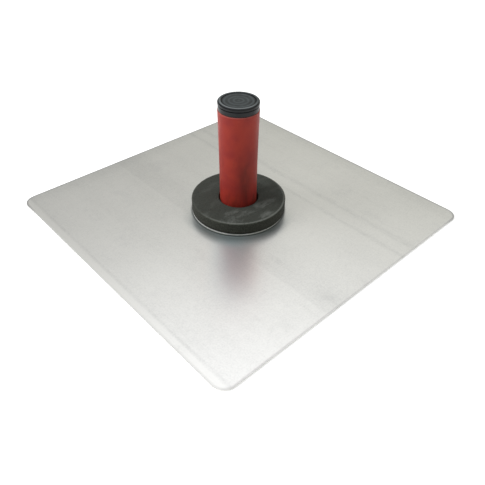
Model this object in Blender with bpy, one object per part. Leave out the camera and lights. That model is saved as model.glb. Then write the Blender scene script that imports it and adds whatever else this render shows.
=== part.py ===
"""A plasterer's hawk: a square aluminium blade, a backing disc riveted to it, a foam callus guard and a
round handle that screws onto a stud in the middle of the blade.

Metres, +Z up. The origin is the centre of the blade's working face, which lies on the floor, and the
handle stands up along +Z.
"""

import math

import bmesh
import bpy

MM = 0.001
INCH = 0.0254

# Clearance left wherever two pieces touch on the real tool.
FIT_GAP = 0.3 * MM
# How far a cutter runs past the faces that it goes through.
CUT_PAST = 1.0 * MM

# Blade: 13 in square flat sheet with half-inch corners and eased edges.
BLADE_SIDE = 13 * INCH
BLADE_THICK = 1.6 * MM
BLADE_CORNER_R = 0.5 * INCH
BLADE_EASE = 0.4 * MM
CORNER_STEPS = 8

# Backing disc: round flat sheet that stiffens the middle of the blade.
DISC_Z = BLADE_THICK + FIT_GAP
DISC_THICK = 1.6 * MM
DISC_R = 48.6 * MM
DISC_EASE = 0.35 * MM

# Everything that sits on the disc starts at this height.
DISC_TOP_Z = DISC_Z + DISC_THICK
SEAT_Z = DISC_TOP_Z + FIT_GAP

# Rivets that hold the disc to the blade, countersunk at both ends and just below flush.
RIVET_COUNT = 4
RIVET_CIRCLE_R = 27.0 * MM
RIVET_SHANK_R = 2.4 * MM
RIVET_HEAD_R = 4.0 * MM
RIVET_HEAD_DEPTH = 1.25 * MM
HEAD_RECESS = 0.12 * MM

# Stud: 3/8-16 UNC with a countersunk head that ends flush in the working face.
THREAD_MAJOR_R = 3 / 16 * INCH
THREAD_PITCH = INCH / 16
THREAD_DEPTH = 0.6134 * THREAD_PITCH
THREAD_ROWS_PER_PITCH = 4
THREAD_STEPS = 16
STUD_HEAD_R = 7.7 * MM
STUD_TIP_Z = 29.9 * MM
STUD_TIP_CHAMFER = 0.9 * MM

# Spring washer and jam nut that clamp the stud, the blade and the disc together.
WASHER_INNER_R = 5.1 * MM
WASHER_OUTER_R = 8.6 * MM
WASHER_THICK = 2.3 * MM
WASHER_SWEEP = math.radians(352)
NUT_FLAT_R = 9 / 32 * INCH
NUT_HEIGHT = 7 / 32 * INCH
NUT_CHAMFER = 0.6 * MM
NUT_Z = SEAT_Z + WASHER_THICK + FIT_GAP

# Callus guard: ring of foam rubber around the foot of the handle.
GUARD_Z = SEAT_Z
GUARD_THICK = 13.0 * MM
GUARD_R = 49.2 * MM
GUARD_HOLE_R = 20.6 * MM
GUARD_EASE = 1.3 * MM

# Handle: moulded core, rubber grip sleeve, brass insert and end cap.
HANDLE_TOP_Z = 123.5 * MM
CAP_HEIGHT = 8.3 * MM
CAP_Z = HANDLE_TOP_Z - CAP_HEIGHT
CORE_FOOT_R = 18.4 * MM
CORE_FOOT_HEIGHT = 3.0 * MM
CORE_R = 15.6 * MM
CORE_BORE_R = 12.5 * MM
CORE_TOP_Z = CAP_Z - 2 * FIT_GAP
NUT_WELL_R = 9.4 * MM
NUT_WELL_TOP_Z = NUT_Z + NUT_HEIGHT + 1.0 * MM
INSERT_R = 7.5 * MM
INSERT_FLANGE_R = 10.2 * MM
INSERT_FLANGE_THICK = 2.5 * MM
INSERT_BORE_R = THREAD_MAJOR_R + FIT_GAP
INSERT_Z = NUT_WELL_TOP_Z + FIT_GAP
INSERT_SHOULDER_Z = 30.0 * MM
INSERT_GROOVE = 0.6 * MM

# The sleeve's outer radius swells gently from its waist to both ends.
SLEEVE_Z = SEAT_Z + CORE_FOOT_HEIGHT + FIT_GAP
SLEEVE_TOP_Z = CAP_Z - FIT_GAP
SLEEVE_WAIST_R = 19.15 * MM
SLEEVE_TOP_R = 20.15 * MM
SLEEVE_FOOT_R = 19.25 * MM
SLEEVE_WAIST_Z = 40.0 * MM
SLEEVE_EASE = 0.6 * MM
SLEEVE_ROWS = 7

CAP_BAND_R = 19.65 * MM
CAP_LIP_R = 19.95 * MM
CAP_LIP_HEIGHT = 3.1 * MM
CAP_ROUND = 2.0 * MM
CAP_RING_INNER_R = 16.6 * MM
CAP_PANEL_R = 15.5 * MM
CAP_PANEL_DROP = 0.45 * MM
CAP_GROOVE_DROP = 0.8 * MM
CAP_WALL = 1.6 * MM
CAP_SPIGOT_LENGTH = 10.0 * MM

SMALL_STEPS = 20
MEDIUM_STEPS = 36
LARGE_STEPS = 48
SHARP_ANGLE = math.radians(35)


def clear_scene():
    for obj in list(bpy.data.objects):
        bpy.data.objects.remove(obj)


def make_material(name, colour, metallic, roughness):
    material = bpy.data.materials.new(name)
    material.use_nodes = True
    shader = material.node_tree.nodes["Principled BSDF"]
    shader.inputs["Base Color"].default_value = (*colour, 1.0)
    shader.inputs["Metallic"].default_value = metallic
    shader.inputs["Roughness"].default_value = roughness
    return material


def add_object(name, bm, material, z=0.0, parent=None):
    """A smooth-shaded object from a finished bmesh, standing at height z."""
    bmesh.ops.recalc_face_normals(bm, faces=bm.faces)
    mesh = bpy.data.meshes.new(name)
    bm.to_mesh(mesh)
    bm.free()
    mesh.shade_smooth()
    mesh.set_sharp_from_angle(angle=SHARP_ANGLE)
    if material:
        mesh.materials.append(material)
    obj = bpy.data.objects.new(name, mesh)
    bpy.context.scene.collection.objects.link(obj)
    obj.parent = parent
    obj.location.z = z - (parent.location.z if parent else 0.0)
    return obj


def add_axis(name, z):
    """An empty on the tool's axis that moving pieces are parented to."""
    empty = bpy.data.objects.new(name, None)
    empty.location.z = z
    bpy.context.scene.collection.objects.link(empty)
    return empty


def arc(centre_r, centre_z, radius, start_deg, end_deg, steps=4):
    """Points of a fillet in the profile's (r, z) plane."""
    points = []
    for i in range(steps + 1):
        angle = math.radians(start_deg + (end_deg - start_deg) * i / steps)
        points.append((centre_r + radius * math.cos(angle), centre_z + radius * math.sin(angle)))
    return points


def turned(profile, steps, closed):
    """A bmesh turned about Z from (r, z) points; a closed profile makes a ring, an open one ends on the axis."""
    bm = bmesh.new()
    verts = [bm.verts.new((r, 0.0, z)) for r, z in profile]
    edges = [bm.edges.new(pair) for pair in zip(verts, verts[1:])]
    if closed:
        edges.append(bm.edges.new((verts[-1], verts[0])))
    bmesh.ops.spin(
        bm,
        geom=verts + edges,
        cent=(0.0, 0.0, 0.0),
        axis=(0.0, 0.0, 1.0),
        angle=2 * math.pi,
        steps=steps,
        use_merge=True,
    )
    bmesh.ops.remove_doubles(bm, verts=bm.verts, dist=0.001 * MM)
    return bm


def skinned(rings):
    """A closed bmesh through rings of equally many points, with a flat face on the first and the last."""
    bm = bmesh.new()
    rows = [[bm.verts.new(point) for point in ring] for ring in rings]
    for low, high in zip(rows, rows[1:]):
        for i, vert in enumerate(low):
            after = (i + 1) % len(low)
            bm.faces.new((vert, low[after], high[after], high[i]))
    bm.faces.new(rows[0])
    bm.faces.new(rows[-1])
    return bm


def rounded_square(inset, z):
    """The blade's outline, moved inwards by inset, as points at height z."""
    radius = BLADE_CORNER_R - inset
    centre = BLADE_SIDE / 2 - BLADE_CORNER_R
    points = []
    for quarter, (sign_x, sign_y) in enumerate(((1, 1), (-1, 1), (-1, -1), (1, -1))):
        for i in range(CORNER_STEPS + 1):
            angle = math.pi / 2 * (quarter + i / CORNER_STEPS)
            x = sign_x * centre + radius * math.cos(angle)
            y = sign_y * centre + radius * math.sin(angle)
            points.append((x, y, z))
    return points


def add_cutter(name, bm, x=0.0, y=0.0):
    cutter = add_object(name, bm, None)
    cutter.location.x = x
    cutter.location.y = y
    cutter.hide_render = True
    cutter.display_type = "WIRE"
    return cutter


def boolean(obj, cutter, operation="DIFFERENCE"):
    modifier = obj.modifiers.new(cutter.name, "BOOLEAN")
    modifier.operation = operation
    modifier.object = cutter


def rivet_places():
    """Centres of the rivets, on the diagonals of the blade."""
    places = []
    for i in range(RIVET_COUNT):
        angle = 2 * math.pi * (i + 0.5) / RIVET_COUNT
        places.append((RIVET_CIRCLE_R * math.cos(angle), RIVET_CIRCLE_R * math.sin(angle)))
    return places


def add_blade(material, stud_cutter, rivet_cutters):
    rings = [
        rounded_square(BLADE_EASE, 0.0),
        rounded_square(0.0, BLADE_EASE),
        rounded_square(0.0, BLADE_THICK - BLADE_EASE),
        rounded_square(BLADE_EASE, BLADE_THICK),
    ]
    blade = add_object("blade", skinned(rings), material)
    for cutter in [stud_cutter, *rivet_cutters]:
        boolean(blade, cutter)


def add_base_disc(material, rivet_cutters):
    """Flat disc with eased rims; its middle hole follows the cone of the stud's head."""
    hole_top = stud_cone_r(DISC_TOP_Z) + FIT_GAP
    hole_bottom = stud_cone_r(DISC_Z) + FIT_GAP
    rim = DISC_R - DISC_EASE
    profile = [
        (hole_top, DISC_THICK),
        (rim, DISC_THICK),
        (DISC_R, DISC_THICK - DISC_EASE),
        (DISC_R, DISC_EASE),
        (rim, 0.0),
        (hole_bottom, 0.0),
    ]
    disc = add_object("base_disc", turned(profile, LARGE_STEPS, closed=True), material, DISC_Z)
    for cutter in rivet_cutters:
        boolean(disc, cutter)


def add_rivets(material):
    """A short shank between two equal countersunk heads."""
    low, high = HEAD_RECESS, DISC_TOP_Z - HEAD_RECESS
    profile = [
        (0.0, high),
        (RIVET_HEAD_R, high),
        (RIVET_SHANK_R, high - RIVET_HEAD_DEPTH),
        (RIVET_SHANK_R, low + RIVET_HEAD_DEPTH),
        (RIVET_HEAD_R, low),
        (0.0, low),
    ]
    for number, (x, y) in enumerate(rivet_places(), start=1):
        rivet = add_object(f"rivet_{number}", turned(profile, SMALL_STEPS, closed=False), material)
        rivet.location.x = x
        rivet.location.y = y


def add_rivet_cutters():
    """The holes that the rivets go through: the rivet's own shape, grown by the fit gap and run past the faces."""
    low, high = HEAD_RECESS, DISC_TOP_Z - HEAD_RECESS
    slope = (RIVET_HEAD_R - RIVET_SHANK_R) / RIVET_HEAD_DEPTH
    past = HEAD_RECESS + CUT_PAST
    mouth_r = RIVET_HEAD_R + FIT_GAP + slope * past
    profile = [
        (0.0, high + past),
        (mouth_r, high + past),
        (RIVET_SHANK_R + FIT_GAP, high - RIVET_HEAD_DEPTH),
        (RIVET_SHANK_R + FIT_GAP, low + RIVET_HEAD_DEPTH),
        (mouth_r, low - past),
        (0.0, low - past),
    ]
    return [
        add_cutter(f"rivet_cutter_{number}", turned(profile, SMALL_STEPS, closed=False), x, y)
        for number, (x, y) in enumerate(rivet_places(), start=1)
    ]


def stud_cone_r(z):
    """Radius at height z of the stud's head, a cone from the working face to the disc's top."""
    share = (z - HEAD_RECESS) / (SEAT_Z - HEAD_RECESS)
    return STUD_HEAD_R + share * (THREAD_MAJOR_R - STUD_HEAD_R)


def add_stud_cutter():
    profile = [
        (0.0, SEAT_Z),
        (stud_cone_r(SEAT_Z) + FIT_GAP, SEAT_Z),
        (stud_cone_r(-CUT_PAST) + FIT_GAP, -CUT_PAST),
        (0.0, -CUT_PAST),
    ]
    return add_cutter("stud_cutter", turned(profile, MEDIUM_STEPS, closed=False))


def thread_r(angle, z):
    """Radius of a right-hand thread: flat roots and crests joined by straight flanks."""
    phase = (z / THREAD_PITCH - angle / (2 * math.pi)) % 1.0
    flank = min(1.0, max(0.0, 3.0 * abs(phase - 0.5) - 0.375))
    return THREAD_MAJOR_R - THREAD_DEPTH * flank


def add_stud(material):
    """Countersunk head, threaded shank and chamfered tip as one skin of rings."""

    def ring(z, radius_at):
        angles = [2 * math.pi * i / THREAD_STEPS for i in range(THREAD_STEPS)]
        return [(radius_at(a) * math.cos(a), radius_at(a) * math.sin(a), z) for a in angles]

    thread_start = SEAT_Z + 0.5 * MM
    thread_end = STUD_TIP_Z - STUD_TIP_CHAMFER
    rows = round((thread_end - thread_start) / THREAD_PITCH * THREAD_ROWS_PER_PITCH)
    rings = [ring(HEAD_RECESS, lambda a: STUD_HEAD_R), ring(SEAT_Z, lambda a: THREAD_MAJOR_R)]
    for row in range(rows + 1):
        z = thread_start + (thread_end - thread_start) * row / rows
        rings.append(ring(z, lambda a, z=z: thread_r(a, z)))
    rings.append(ring(STUD_TIP_Z, lambda a: THREAD_MAJOR_R - THREAD_DEPTH - 0.2 * MM))
    add_object("stud", skinned(rings), material)


def add_lock_washer(material):
    """Square-section ring, split by a narrow gap."""
    bm = bmesh.new()
    corners = [
        (WASHER_INNER_R, 0.0, 0.0),
        (WASHER_OUTER_R, 0.0, 0.0),
        (WASHER_OUTER_R, 0.0, WASHER_THICK),
        (WASHER_INNER_R, 0.0, WASHER_THICK),
    ]
    start = bm.faces.new([bm.verts.new(corner) for corner in corners])
    swept = bmesh.ops.spin(
        bm,
        geom=[start, *start.verts, *start.edges],
        cent=(0.0, 0.0, 0.0),
        axis=(0.0, 0.0, 1.0),
        angle=WASHER_SWEEP,
        steps=MEDIUM_STEPS,
    )
    ends = [item for item in swept["geom_last"] if isinstance(item, bmesh.types.BMFace)]
    if not ends:
        raise ValueError("the washer's sweep has no end face")
    add_object("lock_washer", bm, material, SEAT_Z)


def add_stud_nut(material):
    """Hexagon jam nut: a chamfered ring cut to six flats."""
    corner_r = NUT_FLAT_R / math.cos(math.pi / 6)
    bore_r = THREAD_MAJOR_R + FIT_GAP
    profile = [
        (bore_r, NUT_HEIGHT - 0.5 * NUT_CHAMFER),
        (bore_r + 0.5 * NUT_CHAMFER, NUT_HEIGHT),
        (NUT_FLAT_R, NUT_HEIGHT),
        (corner_r, NUT_HEIGHT - NUT_CHAMFER),
        (corner_r, NUT_CHAMFER),
        (NUT_FLAT_R, 0.0),
        (bore_r + 0.5 * NUT_CHAMFER, 0.0),
        (bore_r, 0.5 * NUT_CHAMFER),
    ]
    nut = add_object("stud_nut", turned(profile, MEDIUM_STEPS, closed=True), material, NUT_Z)
    flats = bmesh.new()
    bmesh.ops.create_cone(
        flats,
        cap_ends=True,
        segments=6,
        radius1=corner_r,
        radius2=corner_r,
        depth=NUT_HEIGHT + 2 * CUT_PAST,
    )
    cutter = add_cutter("nut_flats", flats)
    cutter.location.z = NUT_Z + NUT_HEIGHT / 2
    boolean(nut, cutter, "INTERSECT")


def add_callus_guard(material):
    """Ring with softly rounded edges outside and at the mouth of its hole."""
    inner_ease = 0.5 * GUARD_EASE
    high = GUARD_THICK - GUARD_EASE
    outer = GUARD_R - GUARD_EASE
    profile = [
        (GUARD_HOLE_R, GUARD_THICK - inner_ease),
        (GUARD_HOLE_R + inner_ease, GUARD_THICK),
        *arc(outer, high, GUARD_EASE, 90, 0, 3),
        *arc(outer, GUARD_EASE, GUARD_EASE, 0, -90, 3),
        (GUARD_HOLE_R + inner_ease, 0.0),
        (GUARD_HOLE_R, inner_ease),
    ]
    add_object("callus_guard", turned(profile, LARGE_STEPS, closed=True), material, GUARD_Z)


def add_handle_core(material, axis):
    """Moulded tube: a foot collar, a well for the nut, a pocket for the insert and an open hollow above."""
    foot = SEAT_Z
    pocket_r = INSERT_R + FIT_GAP
    profile = [
        (CORE_BORE_R, CORE_TOP_Z - foot),
        (CORE_R, CORE_TOP_Z - foot),
        (CORE_R, CORE_FOOT_HEIGHT),
        (CORE_FOOT_R, CORE_FOOT_HEIGHT),
        (CORE_FOOT_R, 0.5 * MM),
        (CORE_FOOT_R - 0.5 * MM, 0.0),
        (NUT_WELL_R, 0.0),
        (NUT_WELL_R, NUT_WELL_TOP_Z - foot),
        (pocket_r, NUT_WELL_TOP_Z - foot),
        (pocket_r, INSERT_SHOULDER_Z - foot),
        (CORE_BORE_R, INSERT_SHOULDER_Z - foot),
    ]
    add_object("handle_core", turned(profile, MEDIUM_STEPS, closed=True), material, foot, axis)


def add_threaded_insert(material, axis):
    """Brass bush whose flange bears down on the shoulder inside the core."""
    flange_low = INSERT_SHOULDER_Z + FIT_GAP - INSERT_Z
    top = flange_low + INSERT_FLANGE_THICK
    groove_mid = 0.5 * flange_low
    groove_half = 1.2 * MM
    profile = [
        (INSERT_BORE_R, top),
        (INSERT_FLANGE_R, top),
        (INSERT_FLANGE_R, flange_low),
        (INSERT_R, flange_low),
        (INSERT_R, groove_mid + groove_half),
        (INSERT_R - INSERT_GROOVE, groove_mid + groove_half - INSERT_GROOVE),
        (INSERT_R - INSERT_GROOVE, groove_mid - groove_half + INSERT_GROOVE),
        (INSERT_R, groove_mid - groove_half),
        (INSERT_R, 0.5 * MM),
        (INSERT_R - 0.5 * MM, 0.0),
        (INSERT_BORE_R, 0.0),
    ]
    add_object("threaded_insert", turned(profile, SMALL_STEPS, closed=True), material, INSERT_Z, axis)


def sleeve_r(z):
    """Outer radius of the grip at height z: a parabola each side of the waist."""
    if z > SLEEVE_WAIST_Z:
        share = (z - SLEEVE_WAIST_Z) / (SLEEVE_TOP_Z - SLEEVE_WAIST_Z)
        return SLEEVE_WAIST_R + (SLEEVE_TOP_R - SLEEVE_WAIST_R) * share**2
    share = (SLEEVE_WAIST_Z - z) / (SLEEVE_WAIST_Z - SLEEVE_Z)
    return SLEEVE_WAIST_R + (SLEEVE_FOOT_R - SLEEVE_WAIST_R) * share**2


def add_grip_sleeve(material, axis):
    inner = CORE_R + FIT_GAP
    length = SLEEVE_TOP_Z - SLEEVE_Z
    top_centre = SLEEVE_TOP_R - SLEEVE_EASE
    outside = []
    for i in range(1, SLEEVE_ROWS):
        z = length * (1 - i / SLEEVE_ROWS)
        outside.append((sleeve_r(SLEEVE_Z + z), z))
    profile = [
        (inner, length),
        *arc(top_centre, length - SLEEVE_EASE, SLEEVE_EASE, 90, 0, 3),
        *outside,
        *arc(SLEEVE_FOOT_R - SLEEVE_EASE, SLEEVE_EASE, SLEEVE_EASE, 0, -90, 2),
        (inner, 0.0),
    ]
    add_object("grip_sleeve", turned(profile, LARGE_STEPS, closed=True), material, SLEEVE_Z, axis)


def add_end_cap(material, axis):
    """Moulded cup: a ringed top panel, a rounded lip over a plain band, and a spigot into the core."""
    spigot_r = CORE_BORE_R - FIT_GAP
    lip_low = CAP_HEIGHT - CAP_LIP_HEIGHT
    panel = CAP_HEIGHT - CAP_PANEL_DROP
    groove = CAP_HEIGHT - CAP_GROOVE_DROP
    groove_r = 0.5 * (CAP_PANEL_R + CAP_RING_INNER_R)
    inside_top = CAP_HEIGHT - 2 * CAP_WALL
    profile = [
        (0.0, panel),
        (CAP_PANEL_R, panel),
        (groove_r, groove),
        (CAP_RING_INNER_R, CAP_HEIGHT - 0.25 * CAP_PANEL_DROP),
        (CAP_RING_INNER_R + 0.4 * MM, CAP_HEIGHT),
        *arc(CAP_LIP_R - CAP_ROUND, CAP_HEIGHT - CAP_ROUND, CAP_ROUND, 90, 0, 5),
        (CAP_LIP_R, lip_low + 0.3 * MM),
        (CAP_BAND_R, lip_low),
        (CAP_BAND_R, 0.3 * MM),
        (CAP_BAND_R - 0.3 * MM, 0.0),
        (spigot_r, 0.0),
        (spigot_r, -CAP_SPIGOT_LENGTH + 0.8 * MM),
        (spigot_r - 0.8 * MM, -CAP_SPIGOT_LENGTH),
        (spigot_r - CAP_WALL, -CAP_SPIGOT_LENGTH),
        (spigot_r - CAP_WALL, inside_top),
        (0.0, inside_top),
    ]
    add_object("end_cap", turned(profile, LARGE_STEPS, closed=False), material, CAP_Z, axis)


def main():
    clear_scene()

    aluminium = make_material("mill_aluminium", (0.72, 0.72, 0.70), 1.0, 0.32)
    disc_metal = make_material("disc_aluminium", (0.66, 0.67, 0.66), 1.0, 0.35)
    rivet_metal = make_material("rivet_aluminium", (0.68, 0.68, 0.67), 1.0, 0.35)
    zinc_steel = make_material("zinc_plated_steel", (0.60, 0.61, 0.62), 1.0, 0.30)
    brass = make_material("brass", (0.72, 0.54, 0.25), 1.0, 0.35)
    foam = make_material("foam_rubber", (0.055, 0.06, 0.055), 0.0, 0.95)
    core_plastic = make_material("core_plastic", (0.03, 0.03, 0.03), 0.0, 0.55)
    cap_plastic = make_material("cap_plastic", (0.035, 0.04, 0.045), 0.0, 0.42)
    grip_rubber = make_material("grip_rubber", (0.33, 0.04, 0.03), 0.0, 0.55)

    stud_cutter = add_stud_cutter()
    rivet_cutters = add_rivet_cutters()
    add_blade(aluminium, stud_cutter, rivet_cutters)
    add_base_disc(disc_metal, rivet_cutters)
    add_rivets(rivet_metal)
    add_stud(zinc_steel)
    add_lock_washer(zinc_steel)
    add_stud_nut(zinc_steel)

    add_callus_guard(foam)

    # The insert rises as the handle unscrews, and the other three pieces turn about the same axis.
    handle_axis = add_axis("handle_axis", SEAT_Z)
    add_threaded_insert(brass, handle_axis)
    add_handle_core(core_plastic, handle_axis)
    add_grip_sleeve(grip_rubber, handle_axis)
    add_end_cap(cap_plastic, handle_axis)


main()
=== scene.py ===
"""The looks of a plasterer's hawk, in metres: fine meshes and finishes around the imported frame.

The frame gives every place and size. A pale studio floor, soft light and one camera stand around the tool.
"""

import math

import bmesh
import bpy
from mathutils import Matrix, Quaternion, Vector, noise


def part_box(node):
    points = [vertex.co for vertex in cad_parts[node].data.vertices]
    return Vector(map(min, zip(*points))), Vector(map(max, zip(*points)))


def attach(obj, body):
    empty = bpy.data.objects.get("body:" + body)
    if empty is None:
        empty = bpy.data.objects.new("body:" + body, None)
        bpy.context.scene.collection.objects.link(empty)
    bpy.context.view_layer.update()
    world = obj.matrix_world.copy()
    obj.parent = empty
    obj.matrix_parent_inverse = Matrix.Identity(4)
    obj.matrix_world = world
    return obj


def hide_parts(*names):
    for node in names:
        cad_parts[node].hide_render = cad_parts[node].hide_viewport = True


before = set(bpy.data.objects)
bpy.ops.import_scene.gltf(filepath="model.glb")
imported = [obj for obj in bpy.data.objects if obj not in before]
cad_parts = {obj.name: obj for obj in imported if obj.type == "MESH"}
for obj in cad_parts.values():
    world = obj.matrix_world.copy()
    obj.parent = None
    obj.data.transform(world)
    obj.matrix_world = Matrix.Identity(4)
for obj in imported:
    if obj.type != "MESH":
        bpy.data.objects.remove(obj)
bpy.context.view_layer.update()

MM = 0.001

# Fineness: steps round a full turn, steps in a fillet, and how near a fillet a flat keeps a support loop.
FINE_STEPS = 256
SMALL_STEPS = 96
FILLET_STEPS = 6
SUPPORT = 0.4 * MM
SHARP_ANGLE = math.radians(38)
CUT_PAST = 1.0 * MM
FIT_GAP = 0.3 * MM


def low(node):
    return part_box(node)[0].z


def high(node):
    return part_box(node)[1].z


def radius(node):
    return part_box(node)[1].x


# ---------------------------------------------------------------- meshes


def fillet(before, corner, after, size):
    """Points of the arc that rounds one corner of an outline."""
    back = before - corner
    ahead = after - corner
    half = 0.5 * back.angle(ahead)
    reach = min(size / math.tan(half), 0.48 * back.length, 0.48 * ahead.length)
    size = reach * math.tan(half)
    back.normalize()
    ahead.normalize()
    centre = corner + (back + ahead).normalized() * (size / math.sin(half))
    start = corner + back * reach - centre
    end = corner + ahead * reach - centre
    first = math.atan2(start.y, start.x)
    turn = math.remainder(math.atan2(end.y, end.x) - first, 2 * math.pi)
    points = []
    for i in range(FILLET_STEPS + 1):
        angle = first + turn * i / FILLET_STEPS
        points.append(centre + size * Vector((math.cos(angle), math.sin(angle))))
    return points


def outline(corners, closed=True, longest=None):
    """An outline's (r, z) points from corners (r, z) or, with a fillet, (r, z, size).

    Beside each fillet a support point keeps the flat's shading flat; longest is the longest step allowed.
    """
    flat = [Vector(corner[:2]) for corner in corners]
    count = len(flat)
    groups = []
    for i, corner in enumerate(corners):
        if len(corner) == 3:
            groups.append(fillet(flat[i - 1], flat[i], flat[(i + 1) % count], corner[2]))
        else:
            groups.append([flat[i]])
    points = []
    for i, group in enumerate(groups):
        points += group
        if i == count - 1 and not closed:
            break
        following = groups[(i + 1) % count]
        start, end = group[-1], following[0]
        length = (end - start).length
        from_share = SUPPORT / length if len(group) > 1 and length > 3 * SUPPORT else 0.0
        to_share = SUPPORT / length if len(following) > 1 and length > 3 * SUPPORT else 0.0
        steps = math.ceil(length / longest) if longest else 1
        for step in range(steps + 1):
            share = from_share + (1 - from_share - to_share) * step / steps
            if 0.0 < share < 1.0:
                points.append(start.lerp(end, share))
    return points


def turned(points, steps=FINE_STEPS, closed=True):
    """A bmesh turned about Z from (r, z) points; a closed outline makes a ring, an open one a solid."""
    bm = bmesh.new()
    verts = [bm.verts.new((point.x, 0.0, point.y)) for point in points]
    edges = [bm.edges.new(pair) for pair in zip(verts, verts[1:])]
    if closed:
        edges.append(bm.edges.new((verts[-1], verts[0])))
    bmesh.ops.spin(
        bm,
        geom=verts + edges,
        cent=(0.0, 0.0, 0.0),
        axis=(0.0, 0.0, 1.0),
        angle=2 * math.pi,
        steps=steps,
        use_merge=True,
    )
    bmesh.ops.remove_doubles(bm, verts=bm.verts, dist=0.001 * MM)
    return bm


def skinned(rings):
    """A closed bmesh through rings of equally many points, with a flat face on the first and the last."""
    bm = bmesh.new()
    rows = [[bm.verts.new(point) for point in ring] for ring in rings]
    for below, above in zip(rows, rows[1:]):
        for i, vert in enumerate(below):
            after = (i + 1) % len(below)
            bm.faces.new((vert, below[after], above[after], above[i]))
    bm.faces.new(rows[0])
    bm.faces.new(rows[-1])
    return bm


def raised(bm, z):
    bmesh.ops.translate(bm, verts=bm.verts, vec=(0.0, 0.0, z))
    return bm


def temporary(bm):
    bmesh.ops.recalc_face_normals(bm, faces=bm.faces)
    mesh = bpy.data.meshes.new("temporary")
    bm.to_mesh(mesh)
    bm.free()
    obj = bpy.data.objects.new("temporary", mesh)
    bpy.context.scene.collection.objects.link(obj)
    return obj


def carved(bm, cutters, operation="DIFFERENCE"):
    """The shape with each cutter taken away, or for INTERSECT, only what they share."""
    body = temporary(bm)
    tools = [temporary(cutter) for cutter in cutters]
    for tool in tools:
        modifier = body.modifiers.new("cut", "BOOLEAN")
        modifier.operation = operation
        modifier.object = tool
    result = bmesh.new()
    result.from_object(body, bpy.context.evaluated_depsgraph_get())
    for obj in [body, *tools]:
        mesh = obj.data
        bpy.data.objects.remove(obj)
        bpy.data.meshes.remove(mesh)
    return result


def add_piece(name, bm, finish, body, slot, *nodes):
    """A finished piece that rides on its body, stands for its CAD nodes and takes the finish it is given; its
    slot is not used.
    """
    bmesh.ops.recalc_face_normals(bm, faces=bm.faces)
    mesh = bpy.data.meshes.new(name)
    bm.to_mesh(mesh)
    bm.free()
    mesh.shade_smooth()
    mesh.set_sharp_from_angle(angle=SHARP_ANGLE)
    mesh.materials.append(finish)
    piece = bpy.data.objects.new(name, mesh)
    bpy.context.scene.collection.objects.link(piece)
    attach(piece, body)
    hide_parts(*nodes)
    return piece


# ---------------------------------------------------------------- finishes


# Where a Mix node in colour mode keeps its two colours and its result.
MIX_COLOURS = (6, 7)
MIX_RESULT = 2


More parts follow.
